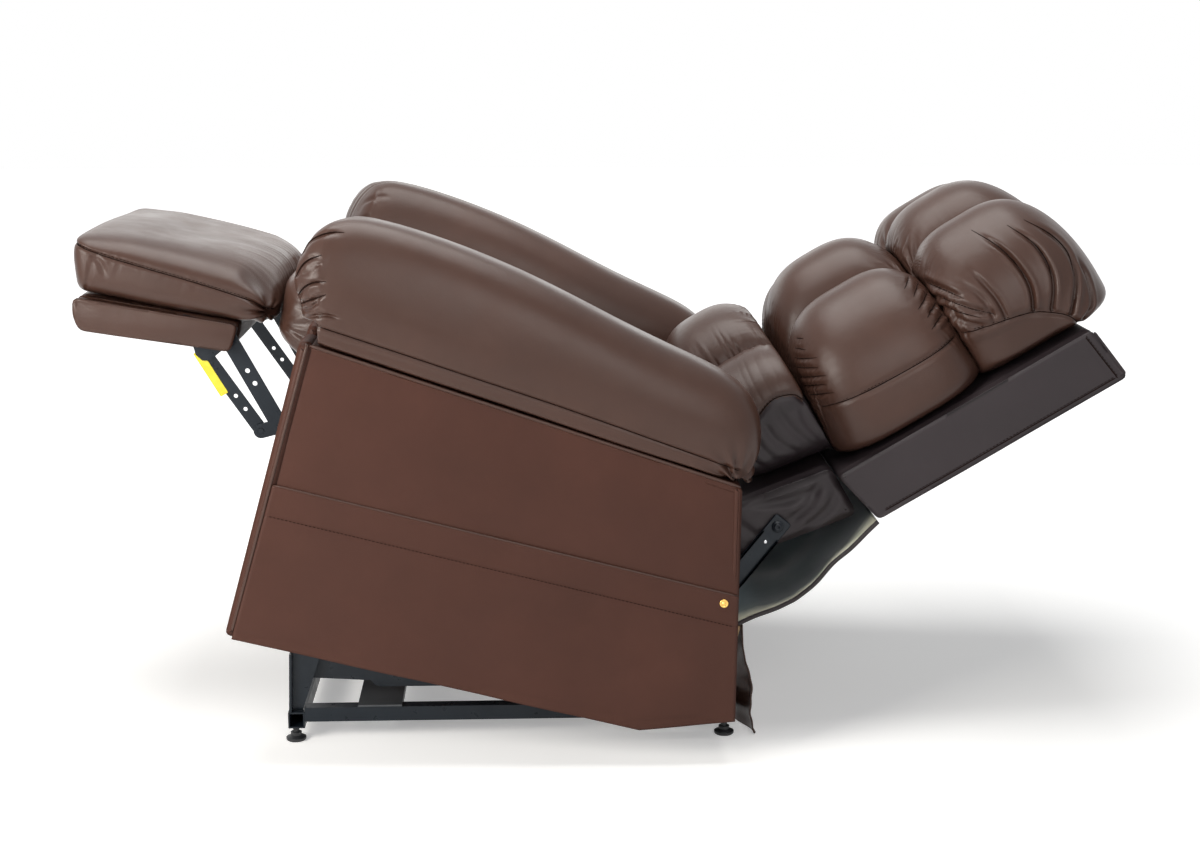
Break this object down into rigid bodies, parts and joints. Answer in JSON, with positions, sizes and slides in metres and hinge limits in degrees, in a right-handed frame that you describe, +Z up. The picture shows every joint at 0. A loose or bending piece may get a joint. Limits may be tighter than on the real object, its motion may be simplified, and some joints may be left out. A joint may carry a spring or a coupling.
{
  "type": "lift recliner chair",
  "caption": "Power lift recliner with a pillowed back, stuffed arms, an extended footrest on scissor links and a lifting steel base, tipped back and reclined.",
  "frame": {"origin": "centre of the footprint's bounding box, on the floor", "axes": "+Z up; -Y the way the sitter faces; +X the sitter's left"},
  "size_m": [0.9424, 1.6902, 0.8895],
  "materials": {
    "brown_leather": "soft semi-gloss, fine grain",
    "flap_lining": "matt woven backing",
    "deck_cloth": "matt",
    "black_steel": "satin",
    "black_plastic": "matt",
    "bright_steel": "polished",
    "frame_wood": "raw"
  },
  "bodies": {
    "base": {"base_front_tube": "black_steel", "base_rear_tube": "black_steel", "base_cross_plate": "black_steel", "control_box": "black_plastic", "base_rail_left": "black_steel", "base_rail_right": "black_steel", "base_upright_left": "black_steel", "base_upright_right": "black_steel"},
    "foot_front_left": {"foot_front_left": "black_plastic"},
    "foot_front_right": {"foot_front_right": "black_plastic"},
    "foot_rear_left": {"foot_rear_left": "black_plastic"},
    "foot_rear_right": {"foot_rear_right": "black_plastic"},
    "lift_arms": {"lift_arm_left": "black_steel", "lift_arm_right": "black_steel", "lift_torque_tube": "black_steel"},
    "guide_arms": {"guide_arm_left": "black_steel", "guide_arm_right": "black_steel"},
    "lift_frame": {"lift_frame_rail_left": "black_steel", "lift_frame_rail_right": "black_steel", "lift_frame_tube": "black_steel"},
    "seat_box": {"seat_rail_left": "black_steel", "seat_rail_right": "black_steel", "back_pin_left": "black_steel", "back_pin_right": "black_steel", "seat_front_tube": "black_steel", "tilt_shaft": "black_steel", "seat_deck": "deck_cloth", "rear_rail": "frame_wood", "seat_cushion": "brown_leather", "arm_box_left": "brown_leather", "arm_box_right": "brown_leather", "arm_pad_left": "brown_leather", "arm_pad_right": "brown_leather", "side_skirt_left": "brown_leather", "side_skirt_right": "brown_leather", "rear_skirt": "brown_leather", "rear_flap": "flap_lining"},
    "back": {"back_frame": "brown_leather", "head_pillow": "brown_leather", "shoulder_pillow": "brown_leather", "lumbar_pillow": "brown_leather", "lower_back": "brown_leather", "back_bracket_left": "black_steel", "back_bracket_right": "black_steel"},
    "footrest_drive": {"footrest_drive": "black_steel"},
    "footrest_wide": {"footrest_wide_link_left": "black_steel", "footrest_wide_link_right": "black_steel"},
    "footrest_slim": {"footrest_slim_link_left": "black_steel", "footrest_slim_link_right": "black_steel"},
    "footrest_rear": {"footrest_rear_link_left": "black_steel", "footrest_rear_link_right": "black_steel"},
    "footrest_board": {"footrest_board": "brown_leather", "footrest_pad": "brown_leather", "footrest_bracket_left": "black_steel", "footrest_bracket_right": "black_steel"},
    "lift_motor_housing": {"lift_motor_housing": "black_plastic"},
    "lift_motor_rod": {"lift_motor_rod": "bright_steel"},
    "back_motor_housing": {"back_motor_housing": "black_plastic"},
    "back_motor_rod": {"back_motor_rod": "bright_steel"}
  },
  "joints": [
    {"name": "foot_turn_front_left", "type": "hinge", "parent": "base", "child": "foot_front_left", "pos_m": [0.3165, -0.50304, 0], "axis": [0, 0, 1], "continuous": true},
    {"name": "foot_turn_front_right", "type": "hinge", "parent": "base", "child": "foot_front_right", "pos_m": [-0.3165, -0.50304, 0], "axis": [0, 0, 1], "continuous": true},
    {"name": "foot_turn_rear_left", "type": "hinge", "parent": "base", "child": "foot_rear_left", "pos_m": [0.3165, 0.20246, 0], "axis": [0, 0, 1], "continuous": true},
    {"name": "foot_turn_rear_right", "type": "hinge", "parent": "base", "child": "foot_rear_right", "pos_m": [-0.3165, 0.20246, 0], "axis": [0, 0, 1], "continuous": true},
    {"name": "lift", "type": "hinge", "parent": "base", "child": "lift_arms", "pos_m": [0, -0.48704, 0.12], "axis": [1, 0, 0], "range_deg": [0, 62]},
    {"name": "guide_turn", "type": "hinge", "parent": "base", "child": "guide_arms", "pos_m": [0, -0.47104, 0.178], "axis": [1, 0, 0], "range_deg": [0, 59.11]},
    {"name": "lift_frame_turn", "type": "hinge", "parent": "lift_arms", "child": "lift_frame", "pos_m": [0, -0.14904, 0.098], "axis": [1, 0, 0], "range_deg": [-35.11, 0]},
    {"name": "tilt", "type": "hinge", "parent": "lift_frame", "child": "seat_box", "pos_m": [0, 0.15372, 0.17477], "axis": [1, 0, 0], "range_deg": [0, 14.5]},
    {"name": "recline", "type": "hinge", "parent": "seat_box", "child": "back", "pos_m": [0, 0.18686, 0.22301], "axis": [1, 0, 0], "range_deg": [-15, 22], "deforming": ["rear_flap"]},
    {"name": "footrest", "type": "hinge", "parent": "seat_box", "child": "footrest_drive", "pos_m": [0, -0.41318, 0.49491], "axis": [1, 0, 0], "range_deg": [0, 114]},
    {"name": "footrest_wide_turn", "type": "hinge", "parent": "footrest_drive", "child": "footrest_wide", "pos_m": [0, -0.51999, 0.51323], "axis": [1, 0, 0], "range_deg": [-114.02, 0]},
    {"name": "footrest_board_turn", "type": "hinge", "parent": "footrest_wide", "child": "footrest_board", "pos_m": [0, -0.5998, 0.66195], "axis": [1, 0, 0], "range_deg": [0, 85.02]},
    {"name": "footrest_slim_turn", "type": "hinge", "parent": "footrest_drive", "child": "footrest_slim", "pos_m": [0, -0.55207, 0.505], "axis": [1, 0, 0], "range_deg": [-119.72, 0]},
    {"name": "footrest_rear_turn", "type": "hinge", "parent": "seat_box", "child": "footrest_rear", "pos_m": [0, -0.38582, 0.42895], "axis": [1, 0, 0], "range_deg": [0, 115.02]},
    {"name": "lift_motor_turn", "type": "hinge", "parent": "base", "child": "lift_motor_housing", "pos_m": [0, 0.20196, 0.066], "axis": [1, 0, 0], "range_deg": [-0.914, 0]},
    {"name": "lift_motor_stroke", "type": "slide", "parent": "lift_motor_housing", "child": "lift_motor_rod", "axis": [0, -0.9767, 0.2144], "range_m": [0, 0.11392]},
    {"name": "back_motor_turn", "type": "hinge", "parent": "seat_box", "child": "back_motor_housing", "pos_m": [0, -0.27879, 0.46738], "axis": [1, 0, 0], "range_deg": [-0.519, 0.36]},
    {"name": "back_motor_stroke", "type": "slide", "parent": "back_motor_housing", "child": "back_motor_rod", "axis": [0, 0.9396, -0.3424], "range_m": [-0.02649, 0.01812]}
  ],
  "couplings": [
    {"joint": "guide_turn", "follows": "lift", "ratio": 0.953},
    {"joint": "lift_frame_turn", "follows": "lift", "ratio": -0.566},
    {"joint": "footrest_wide_turn", "follows": "footrest", "ratio": -1},
    {"joint": "footrest_board_turn", "follows": "footrest", "ratio": 0.7456},
    {"joint": "footrest_slim_turn", "follows": "footrest", "ratio": -1.05},
    {"joint": "footrest_rear_turn", "follows": "footrest", "ratio": 1.0088},
    {"joint": "lift_motor_turn", "follows": "lift", "ratio": -0.014413},
    {"joint": "lift_motor_stroke", "follows": "lift", "m_per_rad": 0.10509},
    {"joint": "back_motor_turn", "follows": "recline", "ratio": -0.022662},
    {"joint": "back_motor_stroke", "follows": "recline", "m_per_rad": -0.068458}
  ]
}
